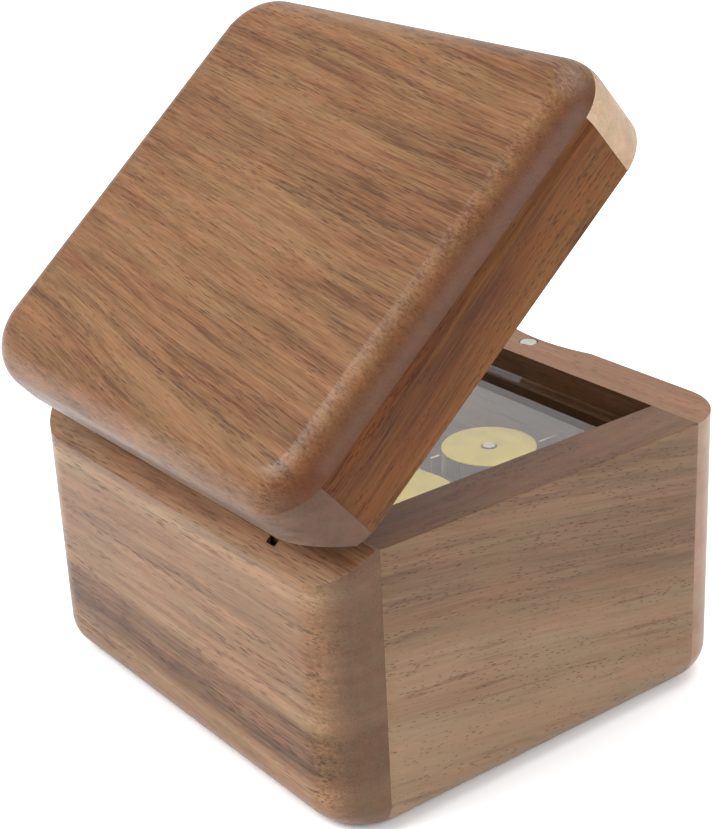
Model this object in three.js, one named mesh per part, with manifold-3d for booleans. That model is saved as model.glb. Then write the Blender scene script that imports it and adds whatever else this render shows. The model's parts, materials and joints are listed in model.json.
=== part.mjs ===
// Wind-up music box: a small wooden box with a hinged lid, a clear cover and an 18-note movement.
// Units are millimetres, +Z is up, the hinge side is -Y. The origin is on the underside, at its centre.
import * as THREE from 'three';
import { mergeVertices } from 'three/addons/utils/BufferGeometryUtils.js';
import Module from 'manifold-3d';

const wasm = await Module();
wasm.setup();

// ---- driving dimensions: the case
const WIDTH = 80;
const DEPTH = 72.6;
const BODY_HEIGHT = 42.8;
const LID_HEIGHT = 14.8;
const CORNER_RADIUS = 9.2;
const BASE_ROUND = 5;
const LID_ROUND = 6.2;
const BACK_WALL = 7.2;
const SIDE_WALL = 9;
const FRONT_WALL = 8.2;
const LID_PANEL = 3.9;
const GLUE_GAP = 0.1; // between pieces that are glued face to face
const FIT_GAP = 0.3; // between pieces that are screwed, slid or laid together
const BASE_THICKNESS = 14.3;
const BEVEL_REACH = 6.7; // the back wall's top bevel, measured inwards
const BEVEL_DROP = 5.6; // and downwards
const LID_BEVEL_REACH = 4.8; // the lid's matching bevel, measured inwards
const LID_BEVEL_RISE = 5; // and upwards

// ---- driving dimensions: the hinge
const LID_OPEN = THREE.MathUtils.degToRad(40.4); // how far the lid stands open at rest
const LID_GAP = 0.3; // between lid and rim when shut
const PIVOT_INSET = 3.6;
const HINGE_CENTRE = 17.5; // each hinge's distance from the middle of the box
const HINGE_WIDTH = 12;
const KNUCKLE_RADIUS = 1.2;
const MIDDLE_KNUCKLE = 3.8;
const HINGE_PIN_RADIUS = 0.5;
const LEAF_THICKNESS = 0.8;
const LEAF_HEIGHT = 6.8; // from the pin's axis to the leaf's far edge
const NOTCH_WIDTH = 1.9; // the notch in the body's bevel, at the outer end of the right hinge's slot
const NOTCH_BACK = -34.2;

// ---- driving dimensions: the cover and the magnets
const COVER_TOP = 39.3;
const COVER_THICKNESS = 2;
const LEDGE_WIDTH = 1.8;
const LEDGE_HEIGHT = 3;
const MAGNET_RADIUS = 1.5;
const MAGNET_LENGTH = 3;
const MAGNET_X = -0.8;
const MAGNET_Y = 32.9;

// ---- driving dimensions: the movement
const PLATE_BOTTOM = 14.6;
const PLATE_TOP = 16.2;
const FOOT = PLATE_TOP + FIT_GAP; // the level where the pieces on the bedplate start
const DRUM_TOP = 35.1;
const WINDER_X = 18.3;
const WINDER_Y = -11.6;
const HOUSING_RADIUS = 10.4;
const CYLINDER_Z = 26;
const CYLINDER_RADIUS = 6.5;
const CYLINDER_LEFT = -17.2;
const CYLINDER_RIGHT = 1.6;
const FAN_X = 14.6;
const FAN_Y = 10.9;
const CAP_RADIUS = 7.1;
const CAP_DEPTH = 3.5;
const COMB_TEETH = 18;

// ---- gears: teeth, and the pitch radius that each pair's centre distance gives
const CYLINDER_TEETH = 22;
const CYLINDER_PITCH_R = 7;
const CROWN_TEETH = 36;
const PINION_TEETH = 8;
const PINION_PITCH_R = (CYLINDER_PITCH_R * PINION_TEETH) / CYLINDER_TEETH;
const WHEEL_TEETH = 30;
const WHEEL_PITCH_R = 6;
const SECOND_PINION_TEETH = 10;
const SECOND_PINION_PITCH_R = (WHEEL_PITCH_R * SECOND_PINION_TEETH) / WHEEL_TEETH;
const WORM_WHEEL_TEETH = 20;
const WORM_WHEEL_PITCH_R = 5;
const WORM_STARTS = 2;
const WORM_PITCH_R = 1.4;
const WORM_LEAD = (WORM_STARTS * 2 * Math.PI * WORM_WHEEL_PITCH_R) / WORM_WHEEL_TEETH;

// The worm wheel's shaft stands beside the worm; the transfer shaft lies between it and the cylinder.
const CYLINDER_AXIS = { y: WINDER_Y, z: CYLINDER_Z };
const WORM_SHAFT_AXIS = { y: FAN_Y - WORM_PITCH_R - WORM_WHEEL_PITCH_R, z: 24.5 };
const TRANSFER_AXIS = circlesMeet(
  CYLINDER_AXIS,
  CYLINDER_PITCH_R + PINION_PITCH_R,
  WORM_SHAFT_AXIS,
  WHEEL_PITCH_R + SECOND_PINION_PITCH_R,
);

// ---- materials
const finish = (colour, roughness, metalness = 0) => ({ color: colour, roughness, metalness });
const WALNUT = finish(0x7a5236, 0.45);
const END_GRAIN = finish(0x5c4232, 0.5);
const BARE_WOOD = finish(0x8c6a48, 0.75);
const CLEAR = finish(0xdfe4e6, 0.05);
const GOLD = finish(0xd9c98a, 0.22, 1);
const BRASS = finish(0xb99a55, 0.35, 1);
const STEEL = finish(0xb9bcc0, 0.3, 1);
const NICKEL = finish(0xd4d4d2, 0.25, 1);
const SPRING_STEEL = finish(0x4c5058, 0.4, 1);

// ---- geometry helpers

/** The upper point where circles round two shaft axes cross, in the plane across the shafts. */
function circlesMeet(a, radiusA, b, radiusB) {
  const dy = b.y - a.y;
  const dz = b.z - a.z;
  const apart = Math.hypot(dy, dz);
  const along = (apart * apart + radiusA * radiusA - radiusB * radiusB) / (2 * apart);
  const aside = Math.sqrt(radiusA * radiusA - along * along);
  return {
    y: a.y + (along * dy - aside * dz) / apart,
    z: a.z + (along * dz + aside * dy) / apart,
  };
}

/** A closed geometry as a manifold-3d solid. */
function toSolid(geometry) {
  const bare = geometry.clone();
  bare.deleteAttribute('normal');
  bare.deleteAttribute('uv');
  const merged = mergeVertices(bare, 1e-4);
  const index = merged.index.array;
  const triangles = [];
  for (let i = 0; i < index.length; i += 3) {
    const [a, b, c] = [index[i], index[i + 1], index[i + 2]];
    if (a !== b && b !== c && c !== a) triangles.push(a, b, c);
  }
  return new wasm.Manifold(
    new wasm.Mesh({
      numProp: 3,
      vertProperties: Float32Array.from(merged.attributes.position.array),
      triVerts: Uint32Array.from(triangles),
    }),
  );
}

/** A manifold-3d solid as a geometry. */
function toGeometry(solid) {
  const mesh = solid.getMesh();
  const geometry = new THREE.BufferGeometry();
  geometry.setAttribute('position', new THREE.BufferAttribute(Float32Array.from(mesh.vertProperties), 3));
  geometry.setIndex(Array.from(mesh.triVerts));
  geometry.computeVertexNormals();
  return geometry;
}

const join = (first, ...others) =>
  toGeometry(others.reduce((solid, other) => solid.add(toSolid(other)), toSolid(first)));

const cut = (first, ...others) =>
  toGeometry(others.reduce((solid, other) => solid.subtract(toSolid(other)), toSolid(first)));

const common = (first, second) => toGeometry(toSolid(first).intersect(toSolid(second)));

/** A box between two corners. */
function box([x0, y0, z0], [x1, y1, z1]) {
  const geometry = new THREE.BoxGeometry(x1 - x0, y1 - y0, z1 - z0);
  return geometry.translate((x0 + x1) / 2, (y0 + y1) / 2, (z0 + z1) / 2);
}

/** A round bar along Z between two levels. */
function bar(radius, z0, z1, x = 0, y = 0, sides = 24) {
  const geometry = new THREE.CylinderGeometry(radius, radius, z1 - z0, sides);
  return geometry.rotateX(Math.PI / 2).translate(x, y, (z0 + z1) / 2);
}

/** A turned solid about Z from [radius, z] points. */
function turned(points, sides = 32) {
  const profile = points.map(([radius, z]) => new THREE.Vector2(radius, z));
  return new THREE.LatheGeometry(profile, sides).rotateX(Math.PI / 2);
}

/** A flat outline in XY, thickened from z0 to z1. */
function slab(shape, z0, z1, curveSegments = 12) {
  const options = { depth: z1 - z0, bevelEnabled: false, curveSegments };
  return new THREE.ExtrudeGeometry(shape, options).translate(0, 0, z0);
}

function polygon(points) {
  return new THREE.Shape(points.map(([x, y]) => new THREE.Vector2(x, y)));
}

function pierce(shape, x, y, radius) {
  shape.holes.push(new THREE.Path().absarc(x, y, radius, 0, 2 * Math.PI, true));
  return shape;
}

/** Turns a geometry made along Z so that it runs along X: its X becomes Y, and its Y becomes Z. */
function alongX(geometry) {
  const turn = new THREE.Matrix4().makeBasis(
    new THREE.Vector3(0, 1, 0),
    new THREE.Vector3(0, 0, 1),
    new THREE.Vector3(1, 0, 0),
  );
  return geometry.applyMatrix4(turn);
}

function roundedRectangle(width, depth, radius) {
  const shape = new THREE.Shape();
  const x = width / 2 - radius;
  const y = depth / 2 - radius;
  shape.absarc(x, y, radius, 0, Math.PI / 2);
  shape.absarc(-x, y, radius, Math.PI / 2, Math.PI);
  shape.absarc(-x, -y, radius, Math.PI, 1.5 * Math.PI);
  shape.absarc(x, -y, radius, 1.5 * Math.PI, 2 * Math.PI);
  return shape;
}

/** A block with the case's outline, rounded by `round` at its lower (z = 0) and upper (z = height) edges. */
function caseBlock(height, round) {
  const outline = roundedRectangle(WIDTH - 2 * round, DEPTH - 2 * round, CORNER_RADIUS - round);
  return new THREE.ExtrudeGeometry(outline, {
    depth: height - 2 * round,
    bevelThickness: round,
    bevelSize: round,
    bevelSegments: 6,
    curveSegments: 7,
  }).translate(0, 0, round);
}

/** A gear's outline. Its teeth are straight-sided, with backlash, and one is centred on `phase`. */
function gearOutline(teeth, pitchRadius, addendum, dedendum, phase, bore) {
  const rootHalf = (0.54 * Math.PI) / teeth;
  const tipHalf = (0.22 * Math.PI) / teeth;
  const points = [];
  for (let tooth = 0; tooth < teeth; tooth += 1) {
    const middle = phase + (tooth * 2 * Math.PI) / teeth;
    const corners = [
      [pitchRadius - dedendum, -rootHalf],
      [pitchRadius + addendum, -tipHalf],
      [pitchRadius + addendum, tipHalf],
      [pitchRadius - dedendum, rootHalf],
    ];
    for (const [radius, turn] of corners) {
      points.push([radius * Math.cos(middle + turn), radius * Math.sin(middle + turn)]);
    }
  }
  return pierce(polygon(points), 0, 0, bore);
}

/** Twists a geometry about Z: a turn of `angle` for each `height` of rise above z = 0. */
function twist(geometry, angle, height) {
  const points = geometry.attributes.position;
  for (let i = 0; i < points.count; i += 1) {
    const turn = (angle * points.getZ(i)) / height;
    const x = points.getX(i) * Math.cos(turn) - points.getY(i) * Math.sin(turn);
    const y = points.getX(i) * Math.sin(turn) + points.getY(i) * Math.cos(turn);
    points.setXY(i, x, y);
  }
  return geometry;
}

/** Where a follower's tooth must be to mesh with a gear that lies at `direction` - 180 degrees from it. */
function meshPhase(direction, phase, teeth, followerTeeth) {
  const pitch = (2 * Math.PI) / teeth;
  const followerPitch = (2 * Math.PI) / followerTeeth;
  return direction + Math.PI + followerPitch * (0.5 - (phase - direction) / pitch);
}

/** A slotted cheese-head screw: its head stands on z = 0, its shank hangs below. */
function screw(headRadius, headHeight, shankRadius, shankLength) {
  const body = turned(
    [
      [0, -shankLength],
      [shankRadius, -shankLength],
      [shankRadius, 0],
      [headRadius, 0],
      [headRadius, headHeight * 0.75],
      [headRadius * 0.85, headHeight],
      [0, headHeight],
    ],
    20,
  );
  const slot = headRadius * 0.16;
  const reach = headRadius * 1.1;
  return cut(body, box([-reach, -slot, headHeight * 0.55], [reach, slot, headHeight * 2]));
}

function place(parent, name, geometry, look, x = 0, y = 0, z = 0) {
  const mesh = new THREE.Mesh(geometry, new THREE.MeshStandardMaterial(look));
  mesh.name = name;
  mesh.position.set(x, y, z);
  parent.add(mesh);
  return mesh;
}

const musicBox = new THREE.Group();

// ---- the body: four walls round a base block
const BACK = -DEPTH / 2;
const FRONT = DEPTH / 2;
const RIGHT = WIDTH / 2;
const INNER_BACK = BACK + BACK_WALL;
const INNER_FRONT = FRONT - FRONT_WALL;
const INNER_RIGHT = RIGHT - SIDE_WALL;
const PIVOT_Y = BACK + PIVOT_INSET;
const PIVOT_Z = BODY_HEIGHT + LID_GAP / 2;
const hingeSides = { left: -HINGE_CENTRE, right: HINGE_CENTRE };

/** The space that a hinge's leaf needs above or below the pin. */
function leafKerf(x, z0, z1) {
  const half = HINGE_WIDTH / 2 + FIT_GAP;
  const aside = LEAF_THICKNESS / 2 + FIT_GAP;
  return box([x - half, PIVOT_Y - aside, z0], [x + half, PIVOT_Y + aside, z1]);
}

function wallBoxes(height) {
  const above = height + 1;
  const inBack = INNER_BACK + GLUE_GAP;
  const inFront = INNER_FRONT - GLUE_GAP;
  return {
    back: box([-RIGHT - 1, BACK - 1, -1], [RIGHT + 1, INNER_BACK, above]),
    front: box([-RIGHT - 1, INNER_FRONT, -1], [RIGHT + 1, FRONT + 1, above]),
    left: box([-RIGHT - 1, inBack, -1], [-INNER_RIGHT, inFront, above]),
    right: box([INNER_RIGHT, inBack, -1], [RIGHT + 1, inFront, above]),
  };
}

/** The wedge taken off the back wall's top edge, so that the open lid's edge has room. */
function backBevel() {
  const slope = BEVEL_DROP / BEVEL_REACH;
  const beyond = 2;
  const wedge = polygon([
    [BACK + BEVEL_REACH + beyond / slope, BODY_HEIGHT + beyond],
    [BACK - beyond, BODY_HEIGHT + beyond],
    [BACK - beyond, BODY_HEIGHT - BEVEL_DROP - beyond * slope],
  ]);
  return alongX(slab(wedge, -RIGHT - 1, RIGHT + 1));
}

/** The wedge taken off the lid's lower back edge, above the body's bevel. */
function lidBevel() {
  const slope = LID_BEVEL_RISE / LID_BEVEL_REACH;
  const beyond = 2;
  const wedge = polygon([
    [BACK + LID_BEVEL_REACH + beyond / slope, -beyond],
    [BACK - beyond, LID_BEVEL_RISE + beyond * slope],
    [BACK - beyond, -beyond],
  ]);
  return alongX(slab(wedge, -RIGHT - 1, RIGHT + 1));
}

/** The shallow scoop in the front wall's outer top edge, where a finger lifts the lid. */
function fingerScoop() {
  const radius = 50;
  const depth = 1;
  const scoop = new THREE.CylinderGeometry(radius, radius, 12, 120);
  const away = (radius - depth) / Math.SQRT2;
  return scoop.rotateX(-Math.PI / 4).translate(0, FRONT + away, BODY_HEIGHT + away);
}

function magnetHole(z0, z1) {
  return bar(MAGNET_RADIUS + GLUE_GAP, z0, z1, MAGNET_X, MAGNET_Y);
}

function addBody() {
  const block = common(
    caseBlock(BODY_HEIGHT + BASE_ROUND + 1, BASE_ROUND),
    box([-WIDTH, -DEPTH, -1], [WIDTH, DEPTH, BODY_HEIGHT]),
  );
  const walls = wallBoxes(BODY_HEIGHT);
  const kerfFloor = PIVOT_Z - LEAF_HEIGHT - FIT_GAP;
  const kerfs = Object.values(hingeSides).map((x) => leafKerf(x, kerfFloor, BODY_HEIGHT + 1));
  const slotEnd = HINGE_CENTRE + HINGE_WIDTH / 2 + FIT_GAP;
  const notch = box([slotEnd - NOTCH_WIDTH, NOTCH_BACK, kerfFloor], [slotEnd, PIVOT_Y, BODY_HEIGHT + 1]);
  place(musicBox, 'wall_back', cut(common(block, walls.back), backBevel(), notch, ...kerfs), WALNUT);
  const magnetFloor = BODY_HEIGHT - MAGNET_LENGTH - GLUE_GAP;
  const front = cut(common(block, walls.front), fingerScoop(), magnetHole(magnetFloor, BODY_HEIGHT + 1));
  place(musicBox, 'wall_front', front, WALNUT);
  place(musicBox, 'wall_left', common(block, walls.left), WALNUT);
  place(musicBox, 'wall_right', common(block, walls.right), WALNUT);
  const magnet = bar(MAGNET_RADIUS, BODY_HEIGHT - MAGNET_LENGTH, BODY_HEIGHT);
  place(musicBox, 'body_magnet', magnet, NICKEL, MAGNET_X, MAGNET_Y);
}

// ---- the base block, with a turned recess for the key and three counterbored screw holes
const RECESS_RADIUS = 11.7;
const RECESS_DEPTH = 10;
const MOVEMENT_SCREWS = [
  [-17, -21],
  [-17, 18],
  [25, 18],
];
const COUNTERBORE_DEPTH = 8.5;
const COUNTERBORE_RADIUS = 3.2;
const SCREW_BORE = 1.4;
const ARBOR_BORE = 3.2; // through the base block, above the key's recess

function addBase() {
  const x = INNER_RIGHT - GLUE_GAP;
  const block = box([-x, INNER_BACK + GLUE_GAP, 0], [x, INNER_FRONT - GLUE_GAP, BASE_THICKNESS]);
  const holes = [
    bar(RECESS_RADIUS, -1, RECESS_DEPTH, WINDER_X, WINDER_Y, 36),
    bar(ARBOR_BORE, RECESS_DEPTH - 1, BASE_THICKNESS + 1, WINDER_X, WINDER_Y),
  ];
  for (const [screwX, screwY] of MOVEMENT_SCREWS) {
    holes.push(bar(COUNTERBORE_RADIUS, -1, COUNTERBORE_DEPTH, screwX, screwY));
    holes.push(bar(SCREW_BORE, COUNTERBORE_DEPTH - 1, BASE_THICKNESS + 1, screwX, screwY, 16));
  }
  place(musicBox, 'base_block', cut(block, ...holes), BARE_WOOD);
}

// ---- the clear cover on its four ledges
function addCover() {
  const top = COVER_TOP - COVER_THICKNESS - GLUE_GAP;
  const bottom = top - LEDGE_HEIGHT;
  const x = INNER_RIGHT - GLUE_GAP;
  const back = INNER_BACK + GLUE_GAP;
  const front = INNER_FRONT - GLUE_GAP;
  const inner = x - LEDGE_WIDTH - GLUE_GAP;
  place(musicBox, 'ledge_back', box([-inner, back, bottom], [inner, back + LEDGE_WIDTH, top]), WALNUT);
  place(musicBox, 'ledge_front', box([-inner, front - LEDGE_WIDTH, bottom], [inner, front, top]), WALNUT);
  place(musicBox, 'ledge_left', box([-x, back, bottom], [LEDGE_WIDTH - x, front, top]), WALNUT);
  place(musicBox, 'ledge_right', box([x - LEDGE_WIDTH, back, bottom], [x, front, top]), WALNUT);
  const half = INNER_RIGHT - FIT_GAP;
  const glass = box(
    [-half, INNER_BACK + FIT_GAP, COVER_TOP - COVER_THICKNESS],
    [half, INNER_FRONT - FIT_GAP, COVER_TOP],
  );
  place(musicBox, 'cover_plate', glass, CLEAR);
}

// ---- the lid, built shut about the hinge axis and then turned open
const lid = new THREE.Group();
lid.position.set(0, PIVOT_Y, PIVOT_Z);
lid.rotation.x = LID_OPEN;
musicBox.add(lid);
const LID_BOTTOM = LID_GAP / 2; // above the pivot

/** Moves a geometry made with the lid's underside on z = 0 into the lid's group. */
const intoLid = (geometry) => geometry.translate(0, -PIVOT_Y, LID_BOTTOM);

/** The cuts in the lid for one hinge: the knuckle groove and the leaf kerf. */
function lidHingeCuts(x) {
  const half = HINGE_WIDTH / 2 + FIT_GAP;
  const groove = KNUCKLE_RADIUS + FIT_GAP;
  return [
    box([x - half, PIVOT_Y - groove, -1], [x + half, PIVOT_Y + groove, groove - LID_BOTTOM]),
    leafKerf(x, -1, LEAF_HEIGHT + FIT_GAP - LID_BOTTOM),
  ];
}

function addLid() {
  const block = common(
    caseBlock(LID_HEIGHT + 2 * LID_ROUND, LID_ROUND).translate(0, 0, -2 * LID_ROUND),
    box([-WIDTH, -DEPTH, 0], [WIDTH, DEPTH, LID_HEIGHT + 1]),
  );
  const seam = LID_HEIGHT - LID_PANEL;
  const lower = common(block, box([-WIDTH, -DEPTH, -1], [WIDTH, DEPTH, seam - GLUE_GAP]));
  const panel = common(block, box([-WIDTH, -DEPTH, seam], [WIDTH, DEPTH, LID_HEIGHT + 1]));
  const walls = wallBoxes(LID_HEIGHT);
  const hingeCuts = Object.values(hingeSides).flatMap(lidHingeCuts);
  place(lid, 'lid_top_panel', intoLid(panel), WALNUT);
  place(lid, 'lid_wall_back', intoLid(cut(common(lower, walls.back), lidBevel(), ...hingeCuts)), END_GRAIN);
  const front = cut(common(lower, walls.front), magnetHole(-1, MAGNET_LENGTH + GLUE_GAP));
  place(lid, 'lid_wall_front', intoLid(front), WALNUT);
  place(lid, 'lid_wall_left', intoLid(common(lower, walls.left)), WALNUT);
  place(lid, 'lid_wall_right', intoLid(common(lower, walls.right)), WALNUT);
  const magnet = bar(MAGNET_RADIUS, LID_BOTTOM, LID_BOTTOM + MAGNET_LENGTH);
  place(lid, 'lid_magnet', magnet, NICKEL, MAGNET_X, MAGNET_Y - PIVOT_Y);
}

// ---- the concealed hinges: two knuckles on the body's leaf, one on the lid's, and a pin through them
/** A leaf that rises from the pin's axis. `knuckles` and `relief` are [from, to] along the pin. */
function hingeLeaf(knuckles, relief) {
  const half = HINGE_WIDTH / 2;
  const plate = box(
    [-half, -LEAF_THICKNESS / 2, KNUCKLE_RADIUS * 0.75],
    [half, LEAF_THICKNESS / 2, LEAF_HEIGHT],
  );
  const room = KNUCKLE_RADIUS + FIT_GAP;
  const slots = relief.map(([from, to]) => box([from, -2, -2], [to, 2, room]));
  const rolls = knuckles.map(([from, to]) => alongX(bar(KNUCKLE_RADIUS, from, to, 0, 0, 20)));
  const bore = alongX(bar(HINGE_PIN_RADIUS + 0.25, -half - 1, half + 1, 0, 0, 16));
  return cut(join(cut(plate, ...slots), ...rolls), bore);
}

function addHinges() {
  const half = HINGE_WIDTH / 2;
  const middle = MIDDLE_KNUCKLE / 2;
  const outer = [
    [-half, -middle - FIT_GAP],
    [middle + FIT_GAP, half],
  ];
  for (const [side, x] of Object.entries(hingeSides)) {
    const bodyLeaf = hingeLeaf(outer, [[-middle - FIT_GAP, middle + FIT_GAP]]).rotateY(Math.PI);
    place(musicBox, `hinge_body_leaf_${side}`, bodyLeaf, BRASS, x, PIVOT_Y, PIVOT_Z);
    const lidRelief = [
      [-half - 1, -middle],
      [middle, half + 1],
    ];
    place(lid, `hinge_lid_leaf_${side}`, hingeLeaf([[-middle, middle]], lidRelief), BRASS, x);
    const pin = alongX(bar(HINGE_PIN_RADIUS, -half, half, 0, 0, 16));
    place(musicBox, `hinge_pin_${side}`, pin, STEEL, x, PIVOT_Y, PIVOT_Z);
  }
}

// ---- the movement's bedplate, and the screws that hold it to the base block
const PLATE = { left: -22, right: 29, back: -26.5, front: 23.5 };
const HOUSING_LUGS = [60, 235].map(THREE.MathUtils.degToRad);
const LUG_SCREW_R = 14;
const BRACKET_SCREW = { x: 14.2, y: 20 };
const COMB_SCREWS = [-12.6, -3];
const COMB_SCREW_Y = 6.6;

function addBedplate() {
  const plate = roundedRectangle(PLATE.right - PLATE.left, PLATE.front - PLATE.back, 3);
  const centreX = (PLATE.left + PLATE.right) / 2;
  const centreY = (PLATE.back + PLATE.front) / 2;
  const drill = (x, y, radius) => pierce(plate, x - centreX, y - centreY, radius);
  drill(WINDER_X, WINDER_Y, 1.9);
  drill(BRACKET_SCREW.x, BRACKET_SCREW.y, 1);
  for (const [x, y] of MOVEMENT_SCREWS) drill(x, y, SCREW_BORE);
  for (const angle of HOUSING_LUGS) {
    drill(WINDER_X + LUG_SCREW_R * Math.cos(angle), WINDER_Y + LUG_SCREW_R * Math.sin(angle), 1);
  }
  place(musicBox, 'bedplate', slab(plate, PLATE_BOTTOM, PLATE_TOP, 6), GOLD, centreX, centreY);
  MOVEMENT_SCREWS.forEach(([x, y], i) => {
    const length = PLATE_TOP - COUNTERBORE_DEPTH;
    const geometry = screw(2.7, 1.6, 1.1, length).rotateX(Math.PI);
    place(musicBox, `movement_screw_${i + 1}`, geometry, STEEL, x, y, COUNTERBORE_DEPTH - GLUE_GAP);
  });
}

// ---- the spring motor: housing, mainspring, arbor, crown gear and key
const CROWN_INNER = 10.8;
const CROWN_OUTER = 12.1;
const CROWN_ROOT = 18.2;
const CROWN_TIP = 19.6;
const GREAT_GEAR_BOTTOM = 16.6;
const ARBOR_RADIUS = 1.5;

function addHousing() {
  const wall = 0.8;
  const bottom = 18.6;
  const lugBottom = 20.3;
  const lugTop = 21.5;
  const inner = HOUSING_RADIUS - wall;
  const cup = turned(
    [
      [inner, bottom],
      [HOUSING_RADIUS, bottom],
      [HOUSING_RADIUS, DRUM_TOP - 0.3],
      [HOUSING_RADIUS - 0.3, DRUM_TOP],
      [1.3, DRUM_TOP],
      [1.3, DRUM_TOP - wall],
      [inner, DRUM_TOP - wall],
      [inner, bottom],
    ],
    40,
  );
  const reach = LUG_SCREW_R + 1.6;
  const lug = join(
    box([HOUSING_RADIUS - wall / 2, -1.8, lugBottom], [reach, 1.8, lugTop]),
    box([CROWN_OUTER + 0.4, -1.8, FOOT], [reach, 1.8, lugTop]),
  );
  const drilled = cut(lug, bar(1, FOOT - 1, lugTop + 1, LUG_SCREW_R, 0, 16));
  const lugs = HOUSING_LUGS.map((angle) => drilled.clone().rotateZ(angle));
  place(musicBox, 'spring_housing', join(cup, ...lugs), GOLD, WINDER_X, WINDER_Y);
  HOUSING_LUGS.forEach((angle, i) => {
    const x = WINDER_X + LUG_SCREW_R * Math.cos(angle);
    const y = WINDER_Y + LUG_SCREW_R * Math.sin(angle);
    const length = lugTop - PLATE_BOTTOM - 0.4;
    place(musicBox, `housing_screw_${i + 1}`, screw(1.6, 1, 0.75, length), STEEL, x, y, lugTop + GLUE_GAP);
  });
}

/** The coiled mainspring: one flat strip wound from the arbor out to the housing's wall. */
function addMainspring() {
  const turns = 5;
  const stepsPerTurn = 16;
  const strip = 0.45;
  const radius = (t) => 2.3 + (8.9 - 2.3) * t;
  const inside = [];
  const outside = [];
  for (let i = 0; i <= turns * stepsPerTurn; i += 1) {
    const t = i / (turns * stepsPerTurn);
    const angle = t * turns * 2 * Math.PI;
    inside.push([radius(t) * Math.cos(angle), radius(t) * Math.sin(angle)]);
    const outer = radius(t) + strip;
    outside.push([outer * Math.cos(angle), outer * Math.sin(angle)]);
  }
  const coil = slab(polygon([...inside, ...outside.reverse()]), 21, DRUM_TOP - 2);
  place(musicBox, 'mainspring', coil, SPRING_STEEL, WINDER_X, WINDER_Y);
}

/** The great gear: a flat disc whose crown teeth point up near its edge, one of them towards -X. */
function crownGear() {
  const root = CROWN_ROOT - GREAT_GEAR_BOTTOM;
  const tip = CROWN_TIP - GREAT_GEAR_BOTTOM;
  const disc = turned(
    [
      [1.7, 0],
      [CROWN_OUTER, 0],
      [CROWN_OUTER, root],
      [CROWN_INNER, root],
      [CROWN_INNER, 1.2],
      [1.7, 1.2],
      [1.7, 0],
    ],
    36,
  );
  const tooth = polygon([
    [-0.54, root - 0.3],
    [0.54, root - 0.3],
    [0.22, tip],
    [-0.22, tip],
  ]);
  const teeth = [];
  for (let i = 0; i < CROWN_TEETH; i += 1) {
    const wedge = alongX(slab(tooth, CROWN_INNER + 0.05, CROWN_OUTER - 0.1));
    teeth.push(wedge.rotateZ((i * 2 * Math.PI) / CROWN_TEETH));
  }
  return join(disc, ...teeth);
}

function addWinder() {
  place(musicBox, 'great_gear', crownGear(), BRASS, WINDER_X, WINDER_Y, GREAT_GEAR_BOTTOM);
  const arbor = turned(
    [
      [0, 7.8],
      [ARBOR_RADIUS, 7.8],
      [ARBOR_RADIUS, DRUM_TOP - 1.3],
      [1, DRUM_TOP - 1.3],
      [1, DRUM_TOP],
      [0, DRUM_TOP],
    ],
    24,
  );
  place(musicBox, 'spring_arbor', arbor, STEEL, WINDER_X, WINDER_Y);
  place(musicBox, 'winding_key', windingKey(), NICKEL, WINDER_X, WINDER_Y);
}

/** A butterfly key: two round wings on a hub with a blind bore for the arbor. */
function windingKey() {
  const bottom = 1.2;
  const wingRadius = 3.5;
  const wingCentre = 5.7;
  const half = 0.9;
  const wings = [-1, 1].map((side) => {
    const wing = new THREE.Shape().absarc(side * wingCentre, bottom + wingRadius, wingRadius, 0, 2 * Math.PI);
    return slab(pierce(wing, side * wingCentre, bottom + wingRadius, 1.4), -half, half, 8);
  });
  const waist = slab(
    polygon([
      [-wingCentre + 2, bottom + 1.4],
      [wingCentre - 2, bottom + 1.4],
      [wingCentre - 2, bottom + 6],
      [-wingCentre + 2, bottom + 6],
    ]),
    -half,
    half,
  );
  const flat = join(waist, ...wings).rotateX(Math.PI / 2);
  const hub = bar(2.7, 6, 12.8);
  return cut(join(flat, hub), bar(ARBOR_RADIUS + 0.2, 7.5, 13.8));
}

// ---- the cylinder: a brass tube on two end discs, its arbor and gear, and its left bearing
const GEAR_X = { from: 6.2, to: 7.5 };
const GEAR_ADDENDUM = 0.6;
const GEAR_DEDENDUM = 0.8;
const cylinderPhase = -Math.PI / 2 + Math.PI / CYLINDER_TEETH; // a gap points down, at the crown gear

/** A spur gear for a shaft along X, between two places on that shaft. */
const spurGear = (outline, from, to) => alongX(slab(outline, from, to, 6));

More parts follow.
